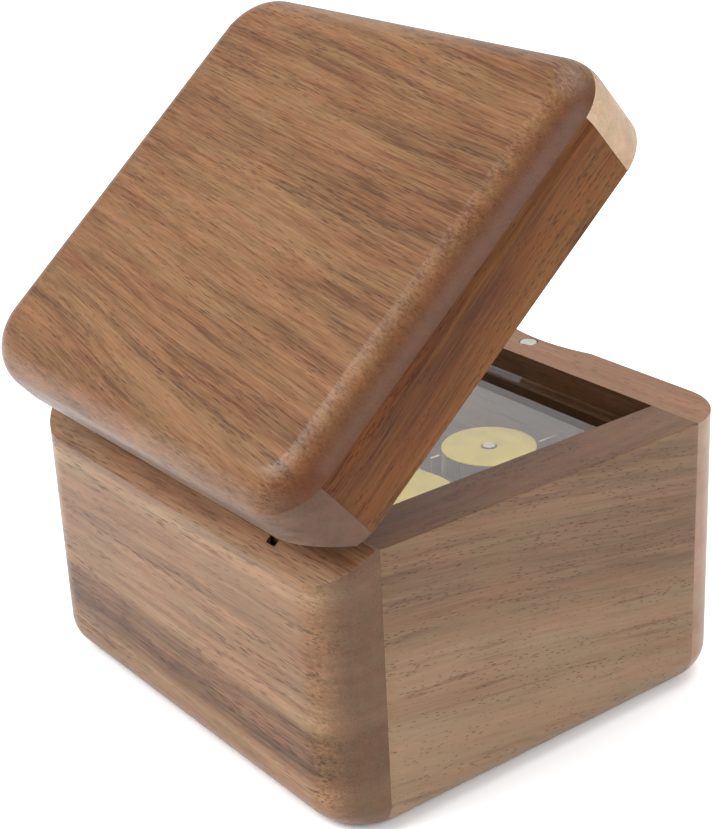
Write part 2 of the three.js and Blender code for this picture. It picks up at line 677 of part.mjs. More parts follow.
function addCylinder() {
  const { y, z } = CYLINDER_AXIS;
  const wall = 0.9;
  const tube = new THREE.Shape().absarc(0, 0, CYLINDER_RADIUS, 0, 2 * Math.PI);
  pierce(tube, 0, 0, CYLINDER_RADIUS - wall);
  place(musicBox, 'cylinder', alongX(slab(tube, CYLINDER_LEFT, CYLINDER_RIGHT, 24)), GOLD, 0, y, z);
  const discRadius = CYLINDER_RADIUS - wall - 0.2;
  const disc = () => pierce(new THREE.Shape().absarc(0, 0, discRadius, 0, 2 * Math.PI), 0, 0, 1);
  const left = alongX(slab(disc(), CYLINDER_LEFT, CYLINDER_LEFT + 1));
  place(musicBox, 'cylinder_disc_left', left, BRASS, 0, y, z);
  const right = alongX(slab(disc(), CYLINDER_RIGHT - 1, CYLINDER_RIGHT));
  place(musicBox, 'cylinder_disc_right', right, BRASS, 0, y, z);
  place(musicBox, 'cylinder_arbor', alongX(bar(0.8, -21, 7.6, 0, 0, 16)), STEEL, 0, y, z);
  const outline = gearOutline(
    CYLINDER_TEETH,
    CYLINDER_PITCH_R,
    GEAR_ADDENDUM,
    GEAR_DEDENDUM,
    cylinderPhase,
    1,
  );
  place(musicBox, 'cylinder_gear', spurGear(outline, GEAR_X.from, GEAR_X.to), BRASS, 0, y, z);
  const post = polygon([
    [y - 3.2, FOOT],
    [y + 3.2, FOOT],
    [y + 2.4, z + 2.8],
    [y - 2.4, z + 2.8],
  ]);
  place(musicBox, 'cylinder_bearing', alongX(slab(pierce(post, y, z, 1.1), -20.4, -18.6)), GOLD);
}

// ---- the comb, on its base, with two screws
const COMB_TIP = WINDER_Y + CYLINDER_RADIUS + 1; // clear of the cylinder's pins
const COMB_BACK = 9.4;
const COMB_BOTTOM = 25.7;
const COMB_TOP = 26.9;

function addComb() {
  const pitch = (CYLINDER_RIGHT - CYLINDER_LEFT) / COMB_TEETH;
  const slot = 0.26;
  const outline = [
    [CYLINDER_RIGHT, COMB_BACK],
    [CYLINDER_LEFT, COMB_BACK],
  ];
  for (let tooth = 0; tooth < COMB_TEETH; tooth += 1) {
    const from = CYLINDER_LEFT + tooth * pitch + (tooth > 0 ? slot / 2 : 0);
    const to = CYLINDER_LEFT + (tooth + 1) * pitch - (tooth < COMB_TEETH - 1 ? slot / 2 : 0);
    const root = 3.6 - 0.17 * tooth; // the low notes have the long teeth
    if (tooth > 0) outline.push([from, root]);
    outline.push([from, COMB_TIP], [to, COMB_TIP]);
    if (tooth < COMB_TEETH - 1) outline.push([to, root]);
  }
  const steel = polygon(outline);
  const heel = polygon([
    [CYLINDER_LEFT, 4.2],
    [CYLINDER_RIGHT, 2.6],
    [CYLINDER_RIGHT, COMB_BACK],
    [CYLINDER_LEFT, COMB_BACK],
  ]);
  for (const x of COMB_SCREWS) {
    pierce(steel, x, COMB_SCREW_Y, 1.2);
    pierce(heel, x, COMB_SCREW_Y, 1.2);
  }
  place(musicBox, 'comb_base', slab(heel, FOOT, COMB_BOTTOM - FIT_GAP, 5), GOLD);
  place(musicBox, 'comb', slab(steel, COMB_BOTTOM, COMB_TOP, 5), STEEL);
  COMB_SCREWS.forEach((x, i) => {
    const geometry = screw(2, 1.1, 0.9, COMB_TOP - FOOT);
    place(musicBox, `comb_screw_${i + 1}`, geometry, BRASS, x, COMB_SCREW_Y, COMB_TOP + GLUE_GAP);
  });
}

// ---- the gear train from the cylinder to the worm: frames, shafts, pinions and wheels
const WHEEL_X = { from: 4.3, to: 5.3 };
const WORM_WHEEL_HALF = 0.7;
const SHAFT_RADIUS = 0.6;
const SHAFT_BORE = 0.85;

function addTrain() {
  const cylinderAxis = CYLINDER_AXIS;
  const transfer = TRANSFER_AXIS;
  const second = WORM_SHAFT_AXIS;
  const inner = polygon([
    [cylinderAxis.y - 3, FOOT],
    [second.y + 2.4, FOOT],
    [second.y + 2.4, second.z + 2],
    [transfer.y + 2.6, transfer.z + 2.4],
    [transfer.y - 2.6, transfer.z + 2.4],
    [cylinderAxis.y + 2.6, cylinderAxis.z + 2.8],
    [cylinderAxis.y - 3, cylinderAxis.z + 2.8],
  ]);
  pierce(inner, cylinderAxis.y, cylinderAxis.z, 1.1);
  pierce(inner, transfer.y, transfer.z, SHAFT_BORE);
  pierce(inner, second.y, second.z, SHAFT_BORE);
  place(musicBox, 'gear_frame_inner', alongX(slab(inner, 2.4, 3.4, 6)), GOLD);
  const outer = polygon([
    [WINDER_Y + 8.8, FOOT],
    [second.y + 2.4, FOOT],
    [second.y + 2.4, second.z + 2],
    [transfer.y + 2.6, transfer.z + 2.4],
    [transfer.y - 2, transfer.z + 2.4],
    [transfer.y - 2, CROWN_TIP + 1.4],
    [WINDER_Y + 8.8, CROWN_TIP + 1.4],
  ]);
  pierce(outer, transfer.y, transfer.z, SHAFT_BORE);
  pierce(outer, second.y, second.z, SHAFT_BORE);
  place(musicBox, 'gear_frame_outer', alongX(slab(outer, 8.6, 9.6, 6)), GOLD);

  const direction = Math.atan2(transfer.z - cylinderAxis.z, transfer.y - cylinderAxis.y);
  const pinionPhase = meshPhase(direction, cylinderPhase, CYLINDER_TEETH, PINION_TEETH);
  const pinion = gearOutline(PINION_TEETH, PINION_PITCH_R, 0.5, 0.8, pinionPhase, 0.8);
  const transferAt = [0, transfer.y, transfer.z];
  place(musicBox, 'transfer_shaft', alongX(bar(SHAFT_RADIUS, 2, 10, 0, 0, 16)), STEEL, ...transferAt);
  place(musicBox, 'transfer_pinion', spurGear(pinion, GEAR_X.from, GEAR_X.to), STEEL, ...transferAt);
  const wheel = gearOutline(WHEEL_TEETH, WHEEL_PITCH_R, 0.36, 0.5, 0, 0.8);
  place(musicBox, 'transfer_wheel', spurGear(wheel, WHEEL_X.from, WHEEL_X.to), BRASS, ...transferAt);

  const onward = Math.atan2(second.z - transfer.z, second.y - transfer.y);
  const secondPhase = meshPhase(onward, 0, WHEEL_TEETH, SECOND_PINION_TEETH);
  const smaller = gearOutline(SECOND_PINION_TEETH, SECOND_PINION_PITCH_R, 0.34, 0.5, secondPhase, 0.8);
  const secondAt = [0, second.y, second.z];
  place(musicBox, 'worm_wheel_shaft', alongX(bar(SHAFT_RADIUS, 2, 18.4, 0, 0, 16)), STEEL, ...secondAt);
  place(musicBox, 'worm_wheel_pinion', spurGear(smaller, 4.1, 5.5), STEEL, ...secondAt);
  place(musicBox, 'worm_wheel', wormWheel(), BRASS, FAN_X, second.y, second.z);
  const bearing = polygon([
    [second.y - 2.2, FOOT],
    [second.y + 2.2, FOOT],
    [second.y + 1.8, second.z + 2.2],
    [second.y - 1.8, second.z + 2.2],
  ]);
  pierce(bearing, second.y, second.z, SHAFT_BORE);
  place(musicBox, 'worm_wheel_bearing', alongX(slab(bearing, 17, 18, 6)), GOLD);
}

/** The worm wheel: teeth twisted to the worm's lead, with a gap towards the worm. */
function wormWheel() {
  const lean = WORM_LEAD / (2 * Math.PI * WORM_PITCH_R);
  const phase = Math.PI / WORM_WHEEL_TEETH;
  const outline = gearOutline(WORM_WHEEL_TEETH, WORM_WHEEL_PITCH_R, 0.34, 0.6, phase, 0.8);
  const blank = new THREE.ExtrudeGeometry(outline, {
    depth: 2 * WORM_WHEEL_HALF,
    steps: 2,
    bevelEnabled: false,
    curveSegments: 6,
  }).translate(0, 0, -WORM_WHEEL_HALF);
  return alongX(twist(blank, (lean * 2 * WORM_WHEEL_HALF) / WORM_WHEEL_PITCH_R, 2 * WORM_WHEEL_HALF));
}

// ---- the governor: worm shaft, fan, cap and the folded bracket that holds them
const CAP_BOTTOM = DRUM_TOP - CAP_DEPTH;
const FAN_BOTTOM = CAP_BOTTOM + 0.3;
const FAN_HEIGHT = 2.1;

/** The worm's cross-section: a root circle with one lobe for each start. */
function wormSection() {
  const root = WORM_PITCH_R - 0.55;
  const tip = WORM_PITCH_R + 0.36;
  const lobe = Math.PI / WORM_STARTS;
  const points = [];
  for (let start = 0; start < WORM_STARTS; start += 1) {
    const middle = -Math.PI / 2 + start * 2 * lobe;
    const corners = [
      [tip, -0.2],
      [tip, 0],
      [tip, 0.2],
      [root, 0.5],
      [root, 0.83],
      [root, 1.17],
      [root, 1.5],
    ];
    for (const [radius, turn] of corners) {
      const angle = middle + turn * lobe;
      points.push([radius * Math.cos(angle), radius * Math.sin(angle)]);
    }
  }
  return polygon(points);
}

function wormShaft() {
  const half = 4.6;
  const middle = WORM_SHAFT_AXIS.z;
  const thread = new THREE.ExtrudeGeometry(wormSection(), {
    depth: 2 * half,
    steps: 40,
    bevelEnabled: false,
  }).translate(0, 0, -half);
  twist(thread, 2 * Math.PI, WORM_LEAD);
  thread.translate(0, 0, middle);
  return join(
    thread,
    bar(0.5, FOOT, middle, 0, 0, 16),
    bar(0.7, middle - half - 1, DRUM_TOP - 1.1, 0, 0, 16),
    bar(0.95, DRUM_TOP - 1.2, DRUM_TOP + 0.1, 0, 0, 20),
  );
}

function addGovernor() {
  place(musicBox, 'worm_shaft', wormShaft(), NICKEL, FAN_X, FAN_Y);
  const fanTop = FAN_BOTTOM + FAN_HEIGHT;
  const blade = box([-5.8, -0.2, FAN_BOTTOM], [5.8, 0.2, fanTop]);
  const hub = bar(1.5, FAN_BOTTOM, fanTop, 0, 0, 20);
  const bore = bar(0.95, FAN_BOTTOM - 1, fanTop + 1, 0, 0, 16);
  place(musicBox, 'fan', cut(join(blade, hub), bore), STEEL, FAN_X, FAN_Y);
  const wall = 0.6;
  const inner = CAP_RADIUS - wall;
  const cap = turned(
    [
      [inner, CAP_BOTTOM],
      [CAP_RADIUS, CAP_BOTTOM],
      [CAP_RADIUS, DRUM_TOP - 0.25],
      [CAP_RADIUS - 0.25, DRUM_TOP],
      [1.2, DRUM_TOP],
      [1.2, DRUM_TOP - wall],
      [inner, DRUM_TOP - wall],
      [inner, CAP_BOTTOM],
    ],
    36,
  );
  place(musicBox, 'governor_cap', cap, GOLD, FAN_X, FAN_Y);
  place(musicBox, 'governor_bracket', governorBracket(), GOLD);
  const geometry = screw(1.6, 1, 0.75, 2.2);
  place(musicBox, 'bracket_screw', geometry, STEEL, BRACKET_SCREW.x, BRACKET_SCREW.y, FOOT + 1 + GLUE_GAP);
}

/** The folded sheet bracket: a foot under the worm, and two thin cheeks that rise beside the cap. */
function governorBracket() {
  const footTop = FOOT + 1;
  const cheekTop = DRUM_TOP - 0.1;
  const foot = polygon([
    [11.7, 1.9],
    [16.4, 1.9],
    [16.4, 8],
    [18.6, 10],
    [18.6, 22],
    [12.4, 22],
    [11.7, 14],
  ]);
  pierce(foot, FAN_X, FAN_Y, 0.8);
  pierce(foot, BRACKET_SCREW.x, BRACKET_SCREW.y, 1);
  return join(
    slab(foot, FOOT, footTop, 6),
    box([11.7, 1.9, FOOT], [12.15, 3.6, cheekTop]),
    box([18.15, 17.5, FOOT], [18.6, 20.8, cheekTop]),
  );
}

addBody();
addBase();
addCover();
addLid();
addHinges();
addBedplate();
addHousing();
addMainspring();
addWinder();
addCylinder();
addComb();
addTrain();
addGovernor();

export default musicBox;
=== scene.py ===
"""Wind-up music box: detailed wood, metal and clear cover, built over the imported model's frame."""

import json
import math
import random

import bmesh
import bpy
from mathutils import Euler, Matrix, Vector


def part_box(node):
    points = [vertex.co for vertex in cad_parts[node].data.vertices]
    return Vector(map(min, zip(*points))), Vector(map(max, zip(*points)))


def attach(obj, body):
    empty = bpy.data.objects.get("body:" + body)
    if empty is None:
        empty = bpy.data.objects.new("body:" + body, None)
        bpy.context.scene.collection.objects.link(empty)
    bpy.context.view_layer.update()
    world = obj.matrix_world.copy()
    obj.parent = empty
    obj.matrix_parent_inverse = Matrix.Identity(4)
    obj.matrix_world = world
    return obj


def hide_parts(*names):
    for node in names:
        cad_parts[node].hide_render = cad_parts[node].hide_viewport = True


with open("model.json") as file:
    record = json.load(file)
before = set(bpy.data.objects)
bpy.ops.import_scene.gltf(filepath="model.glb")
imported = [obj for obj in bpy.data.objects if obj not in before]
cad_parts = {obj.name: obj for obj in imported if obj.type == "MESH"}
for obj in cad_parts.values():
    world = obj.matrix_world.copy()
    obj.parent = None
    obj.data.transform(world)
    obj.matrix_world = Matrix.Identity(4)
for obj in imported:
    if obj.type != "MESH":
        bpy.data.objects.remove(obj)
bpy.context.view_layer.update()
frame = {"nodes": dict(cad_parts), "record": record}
SLOTS = {row["node"]: row["material_slot"] for row in frame["record"]["subparts"]}

# ---- the object's dimensions, in millimetres
MM = 0.001
HALF_WIDTH = 40.0
HALF_DEPTH = 36.3
BODY_HEIGHT = 42.8
LID_HEIGHT = 14.8
CORNER_RADIUS = 9.2
BASE_ROUND = 5.0
LID_ROUND = 6.2
LID_SEAM = 10.9  # under the lid's panel, from the lid's underside
LID_CREASE = math.radians(8)  # the slope at which the lid's rounding meets its flat top
INNER_BACK = -29.1  # the walls' inner faces
INNER_FRONT = 28.1
INNER_SIDE = 31.0
HAIRLINE = 0.02  # a glued seam
EDGE_ROUND = 0.3  # on the wood's sharp edges
MAGNET = (-0.8, 32.9)  # its axis
MAGNET_HOLE = 1.55
MAGNET_HOLE_DEPTH = 3.1
PIVOT = (0.0, -32.7, 42.95)  # the middle of the hinge line
LID_GAP = 0.3  # between the rim and the shut lid
LID_OPEN = math.radians(40.4)
HINGE_CENTRE = 17.5  # each hinge's distance from the middle
SLOT_DEPTH = 7.1  # from the pivot's level
SLOT_HALF_WIDTH = 6.3
NOTCH_WIDTH = 1.9  # the notch at the outer end of the right hinge's slot
NOTCH_BACK = -34.2
BODY_BEVEL = (6.7, -5.6)  # along the rim, then down the back face
LID_BEVEL = (4.8, 5.0)  # along the underside, then up the back face
WINDER = (18.3, -11.6)  # the spring housing's axis
HOUSING_LUGS = [math.radians(60), math.radians(235)]  # where its lugs stand
SCALE = Matrix.Scale(MM, 4)
LID_FRAME = (
    Matrix.Translation(PIVOT)
    @ Matrix.Rotation(LID_OPEN, 4, "X")
    @ Matrix.Translation((0, -PIVOT[1], LID_GAP / 2))
)


# ---- mesh helpers
SHARP_EDGE = math.radians(30)  # what soften rounds
SHARP_SHADING = math.radians(32)  # what is still shaded as an edge


def loft(rings):
    """A closed solid through rings of points, capped at both ends."""
    bm = bmesh.new()
    layers = [[bm.verts.new(p) for p in ring] for ring in rings]
    count = len(layers[0])
    for low, high in zip(layers, layers[1:]):
        for i in range(count):
            j = (i + 1) % count
            bm.faces.new((low[i], low[j], high[j], high[i]))
    bm.faces.new(layers[0][::-1])
    bm.faces.new(layers[-1])
    bmesh.ops.recalc_face_normals(bm, faces=bm.faces)
    return bm


def block(low, high):
    x0, y0, z0 = low
    x1, y1, z1 = high
    return loft([[(x0, y0, z), (x1, y0, z), (x1, y1, z), (x0, y1, z)] for z in (z0, z1)])


def rod(radius, z0, z1, x=0.0, y=0.0, sides=64):
    turns = [2 * math.pi * i / sides for i in range(sides)]
    return loft([[(x + radius * math.cos(a), y + radius * math.sin(a), z) for a in turns] for z in (z0, z1)])


def lathe(outline, sides=96):
    """A closed outline of (radius, height) points, turned about Z."""
    bm = bmesh.new()
    poles = {k: bm.verts.new((0, 0, z)) for k, (r, z) in enumerate(outline) if r == 0}
    columns = []
    for i in range(sides):
        turn = 2 * math.pi * i / sides
        column = []
        for k, (r, z) in enumerate(outline):
            on_axis = k in poles
            column.append(poles[k] if on_axis else bm.verts.new((r * math.cos(turn), r * math.sin(turn), z)))
        columns.append(column)
    for i, column in enumerate(columns):
        beside = columns[(i + 1) % sides]
        for k in range(len(outline)):
            n = (k + 1) % len(outline)
            corners = list(dict.fromkeys((column[k], beside[k], beside[n], column[n])))
            if len(corners) > 2:
                bm.faces.new(corners)
    bmesh.ops.recalc_face_normals(bm, faces=bm.faces)
    return bm


def scratch(bm):
    mesh = bpy.data.meshes.new("scratch")
    bm.to_mesh(mesh)
    bm.free()
    return bpy.data.objects.new("scratch", mesh)


def carve(bm, cutters, operation="DIFFERENCE"):
    """bm less each cutter, or joined with each."""
    target = scratch(bm)
    bpy.context.scene.collection.objects.link(target)
    tools = [scratch(cutter) for cutter in cutters]
    for tool in tools:
        bpy.context.scene.collection.objects.link(tool)
        cut = target.modifiers.new("cut", "BOOLEAN")
        cut.operation = operation
        cut.solver = "EXACT"
        cut.object = tool
    result = bmesh.new()
    result.from_object(target, bpy.context.evaluated_depsgraph_get())
    for thing in [target, *tools]:
        bpy.data.objects.remove(thing)
    bmesh.ops.dissolve_limit(
        result, angle_limit=0.001, verts=result.verts, edges=result.edges, delimit={"NORMAL"}
    )
    return result


def soften(bm, width, skip=lambda p: False):
    """Rounds the sharp edges, except those with both ends where skip says."""
    sharp = []
    for edge in bm.edges:
        if len(edge.link_faces) == 2 and edge.calc_face_angle() > SHARP_EDGE:
            if not all(skip(v.co) for v in edge.verts):
                sharp.append(edge)
    bmesh.ops.bevel(bm, geom=sharp, offset=width, segments=2, profile=0.5, affect="EDGES", clamp_overlap=True)
    return bm


def piece(name, bm, body, slot, material, *nodes, matrix=None):
    """Makes bm, in millimetres, a piece of the object that stands for CAD nodes."""
    mesh = bpy.data.meshes.new(name)
    bm.to_mesh(mesh)
    bm.free()
    mesh.transform(SCALE @ matrix if matrix else SCALE)
    mesh.materials.append(material)
    mesh.shade_smooth()
    mesh.set_sharp_from_angle(angle=SHARP_SHADING)
    obj = bpy.data.objects.new(name, mesh)
    bpy.context.scene.collection.objects.link(obj)
    even = obj.modifiers.new("even normals", "WEIGHTED_NORMAL")
    even.keep_sharp = True
    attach(obj, body)
    if nodes:
        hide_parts(*nodes)
    return obj


# ---- material helpers
def tone(red, green, blue):
    """A display colour, 0 to 255, as linear light."""

    def linear(value):
        share = value / 255
        return share / 12.92 if share <= 0.04045 else ((share + 0.055) / 1.055) ** 2.4

    return (linear(red), linear(green), linear(blue), 1.0)


class Shader:
    """A material's node tree, with short ways to add to it."""

    def __init__(self, name):
        self.material = bpy.data.materials.new(name)
        self.material.use_nodes = True
        self.tree = self.material.node_tree
        self.tree.nodes.clear()

    def add(self, kind, inputs=None, **settings):
        node = self.tree.nodes.new("ShaderNode" + kind)
        for key, value in settings.items():
            setattr(node, key, value)
        for key, value in (inputs or {}).items():
            if isinstance(value, bpy.types.NodeSocket):
                self.tree.links.new(value, node.inputs[key])
            else:
                node.inputs[key].default_value = value
        return node

    def math(self, operation, *values):
        return self.add("Math", dict(enumerate(values)), operation=operation).outputs[0]

    def vector(self, operation, *values):
        return self.add("VectorMath", dict(enumerate(values)), operation=operation).outputs[0]

    def remap(self, value, low, high, to_low=0.0, to_high=1.0):
        inputs = {0: value, 1: low, 2: high, 3: to_low, 4: to_high}
        return self.add("MapRange", inputs, clamp=True, interpolation_type="SMOOTHSTEP").outputs[0]

    def noise(self, vector, scale=1.0, detail=2.0, roughness=0.5, output=0):
        inputs = {"Vector": vector, "Scale": scale, "Detail": detail, "Roughness": roughness}
        return self.add("TexNoise", inputs).outputs[output]

    def ramp(self, factor, stops):
        node = self.add("ValToRGB", {0: factor})
        elements = node.color_ramp.elements
        while len(elements) < len(stops):
            elements.new(0.5)
        for element, (place, colour) in zip(elements, stops):
            element.position = place
            element.color = colour
        return node.outputs[0]

    def blend(self, factor, first, second, mode="MIX"):
        node = self.add("Mix", data_type="RGBA", blend_type=mode)
        for index, value in ((0, factor), (6, first), (7, second)):
            if isinstance(value, bpy.types.NodeSocket):
                self.tree.links.new(value, node.inputs[index])
            else:
                node.inputs[index].default_value = value
        return node.outputs[2]

    def out(self, shader):
        self.add("OutputMaterial", {"Surface": shader})
        return self.material


def wood(name, tones, turn=(0, 0, 0), pith=(40, -60), rings=0.1, seed=0.0, streaks=0.6, pores=1.0,
         pore_length=3.6, fine=0.4, end=(0.8, 0.78, 0.8), top_tint_and_light=(1, 1, 1), roughness=0.36, gloss=0.22):
    """Varnished walnut as a solid texture, in millimetres.

    turn brings the grain to X, and pith is the tree's centre across it. streaks is the share of the streaks
    against the rings. end tints the end grain, and the top tint the faces that look up, with the bevel; on
    the back wall the top tint is painted light. Each noise's scale is per millimetre, along the grain and
    then across it.
    """
    darkest, lightest = 0.32, 0.68  # what the mix of noises mostly stays between
    s = Shader(name)
    place = s.add("TexCoord")
    at = s.add("Mapping", {"Vector": place.outputs["Object"], "Rotation": turn, "Scale": (1000, 1000, 1000),
                           "Location": (seed * 37, 0, 0)}).outputs[0]
    facing = s.add("Mapping", {"Vector": place.outputs["Normal"], "Rotation": turn}, vector_type="NORMAL")

    # slow bends of the grain
    sway = s.noise(s.vector("MULTIPLY", at, (0.012, 0.03, 0.03)), detail=1, output=1)
    sway = s.vector("MULTIPLY", s.vector("SUBTRACT", sway, (0.5, 0.5, 0.5)), (0, 5, 5))
    wavy = s.vector("ADD", at, sway)

    # rings about the pith, long streaks, fibres and broad clouds
    across = s.vector("MULTIPLY", s.vector("SUBTRACT", wavy, (0, *pith)), (0, 1, 1))
    radius = s.add("VectorMath", {0: across}, operation="LENGTH").outputs["Value"]
    ring = s.math("MULTIPLY_ADD", radius, rings, seed + 3.7)
    ring = {"W": ring, "Scale": 1.0, "Detail": 4.0, "Roughness": 0.6}
    ring = s.add("TexNoise", ring, noise_dimensions="1D").outputs[0]
    streak = s.noise(s.vector("MULTIPLY", wavy, (0.022, 0.62, 0.62)), detail=4, roughness=0.66)
    fibre = s.noise(s.vector("MULTIPLY", wavy, (0.13, 3.6, 3.6)), detail=2, roughness=0.7)
    cloud = s.noise(s.vector("MULTIPLY", at, (0.02, 0.05, 0.05)), detail=2)

    mix = s.math("MULTIPLY_ADD", ring, 1.0 - streaks, s.math("MULTIPLY", streak, streaks))
    mix = s.math("ADD", mix, s.math("MULTIPLY", s.math("SUBTRACT", fibre, 0.5), fine))
    mix = s.math("ADD", mix, s.math("MULTIPLY", s.math("SUBTRACT", cloud, 0.5), 0.25))

    # end grain and tops; the tones are closer together on end grain
    facing = s.add("SeparateXYZ", {0: facing.outputs[0]}).outputs
    ends = s.remap(s.math("ABSOLUTE", facing[0]), 0.3, 0.8)
    tops = s.remap(facing[2], 0.6, 0.75)
    along = s.math("SUBTRACT", 1.0, ends)
    calm = s.math("MULTIPLY_ADD", along, 0.55, 0.45)
    mix = s.math("MULTIPLY_ADD", s.math("SUBTRACT", mix, 0.5), calm, 0.5)
    last = len(tones) - 1
    span = lightest - darkest
    colour = s.ramp(mix, [(darkest + span * i / last, tone(*shade)) for i, shade in enumerate(tones)])

    # short pores that gather in bands, and dark flecks among them
    gather = s.noise(s.vector("MULTIPLY", wavy, (0.03, 0.3, 0.3)), detail=3, roughness=0.6)
    gather = s.remap(gather, 0.44, 0.62)
    vessel = s.vector("MULTIPLY", wavy, (1 / pore_length, 3.1, 3.1))
    vessel = s.add("TexVoronoi", {"Vector": vessel, "Scale": 1.0, "Randomness": 1.0}).outputs["Distance"]
    reach = s.math("MULTIPLY_ADD", gather, 0.16 * pores, 0.15 + 0.04 * pores)
    pore = s.remap(s.math("SUBTRACT", vessel, reach), 0.05, -0.12)
    dark = s.noise(s.vector("MULTIPLY", wavy, (0.07, 1.5, 1.5)), detail=3, roughness=0.65)
    dark = s.math("MULTIPLY", s.remap(dark, 0.5, 0.66), s.math("MULTIPLY_ADD", gather, 0.75, 0.25))
    dark = s.math("MULTIPLY", dark, s.math("MULTIPLY_ADD", along, 0.9, 0.1))
    pore = s.math("MULTIPLY", pore, s.math("MULTIPLY_ADD", along, 0.65, 0.35))

    # both darken and warm the colour, which also drifts a little in hue
    shade = s.math("SUBTRACT", 1.0, s.math("MULTIPLY", pore, 0.5))
    shade = s.math("MULTIPLY", shade, s.math("SUBTRACT", 1.0, s.math("MULTIPLY", dark, 0.42 * pores)))
    warm = s.add("CombineColor", {0: shade, 1: s.math("POWER", shade, 1.1), 2: s.math("POWER", shade, 1.15)})
    colour = s.blend(1.0, colour, warm.outputs[0], "MULTIPLY")
    hue = s.remap(s.noise(s.vector("MULTIPLY", wavy, (0.05, 0.35, 0.35)), detail=2), 0.35, 0.65)
    colour = s.blend(1.0, colour, s.blend(hue, (1.05, 0.97, 0.95, 1), (0.96, 1.0, 0.96, 1)), "MULTIPLY")
    colour = s.blend(ends, colour, s.blend(1.0, colour, (*end, 1), "MULTIPLY"))
    # the faces that look up take the top tint; on the back wall it is painted light, lightening the rim and
    # bevel where the lid shades them
    colour = s.blend(tops, colour, s.blend(1.0, colour, (*top_tint_and_light, 1), "MULTIPLY"))

    height = s.math("SUBTRACT", s.math("MULTIPLY", fibre, 0.3), pore)
    bump = s.add("Bump", {"Strength": 0.25, "Distance": 0.00005, "Height": height}).outputs[0]
    rough = s.math("ADD", s.math("MULTIPLY", pore, 0.15),
                   s.math("MULTIPLY_ADD", fibre, 0.1, roughness - 0.05))
    shader = s.add("BsdfPrincipled", {"Base Color": colour, "Roughness": rough, "IOR": 1.5, "Normal": bump,
                                      "Specular IOR Level": gloss})
    return s.out(shader.outputs[0])


def metal(name, colour, roughness):
    """Polished metal, with fine scratches and broad patches that are duller. The scales are per metre."""
    brushed, spots = 0.06, 0.05
    s = Shader(name)
    at = s.add("TexCoord").outputs["Object"]
    fine = s.noise(s.vector("MULTIPLY", at, (4000, 4000, 4000)), detail=3)
    broad = s.noise(at, scale=260.0, detail=2)
    rough = s.math("ADD", s.math("MULTIPLY_ADD", fine, brushed, roughness - brushed / 2),
                   s.math("MULTIPLY", s.math("SUBTRACT", broad, 0.5), spots))
    dull = tuple(0.86 * c for c in tone(*colour)[:3]) + (1.0,)
    tint = s.blend(s.remap(broad, 0.35, 0.7), tone(*colour), dull)
    bump = s.add("Bump", {"Strength": 0.12, "Distance": 0.00002, "Height": fine}).outputs[0]
    inputs = {"Base Color": tint, "Metallic": 1.0, "Roughness": rough, "Normal": bump}
    shader = s.add("BsdfPrincipled", inputs)
    return s.out(shader.outputs[0])


def clear(name):
    """Clear acrylic that lets the lamps reach what it covers."""
    s = Shader(name)
    wear = s.noise(s.add("TexCoord").outputs["Object"], scale=900.0, detail=4)
    rough = s.remap(wear, 0.5, 0.8, 0.0, 0.05)
    glass = s.add("BsdfPrincipled", {"Base Color": (0.97, 0.985, 0.98, 1), "Roughness": rough, "IOR": 1.49,
                                     "Transmission Weight": 1.0}).outputs[0]
    open_way = s.add("BsdfTransparent", {"Color": (0.95, 0.96, 0.96, 1)}).outputs[0]
    path = s.add("LightPath")
    through = s.math("MAXIMUM", path.outputs["Is Shadow Ray"], path.outputs["Is Diffuse Ray"])
    return s.out(s.add("MixShader", {0: through, 1: glass, 2: open_way}).outputs[0])


# ---- the woods, one board to each piece
ACROSS = (0, 0, math.pi / 2)
ACROSS_DIPPING = (math.radians(10), 0, math.pi / 2)  # the grain runs down towards the front
LID_ALONG = (-LID_OPEN, 0, 0)
LID_SLANTED = (-LID_OPEN, 0, math.radians(7))  # the grain runs a little towards the hinge
LID_ACROSS = (-LID_OPEN, 0, math.pi / 2)


def shades(red, green, blue, spread=1.0):
    """Four tones of one wood, dark to light, around its middle colour. The darker they are, the richer."""
    powers = [1 + spread * step for step in (0.45, 0.05, -0.12, -0.27)]
    return [tuple(255 * (value / 255) ** power for value in (red, green, blue)) for power in powers]


WARM = shades(101, 69, 42, 0.65)
BANDED = shades(110, 80, 55)
GREYED = shades(105, 80, 58, 0.7)
REDDISH = shades(93, 56, 25, 0.7)
RIM = shades(130, 94, 67)
PALE = shades(153, 128, 105, 1.3)
DUSKY = shades(94, 68, 50, 0.7)
BROWN = shades(90, 65, 45, 0.7)
RAW = shades(150, 115, 88)
SIDE_RIM = (1.0, 0.78, 0.7)

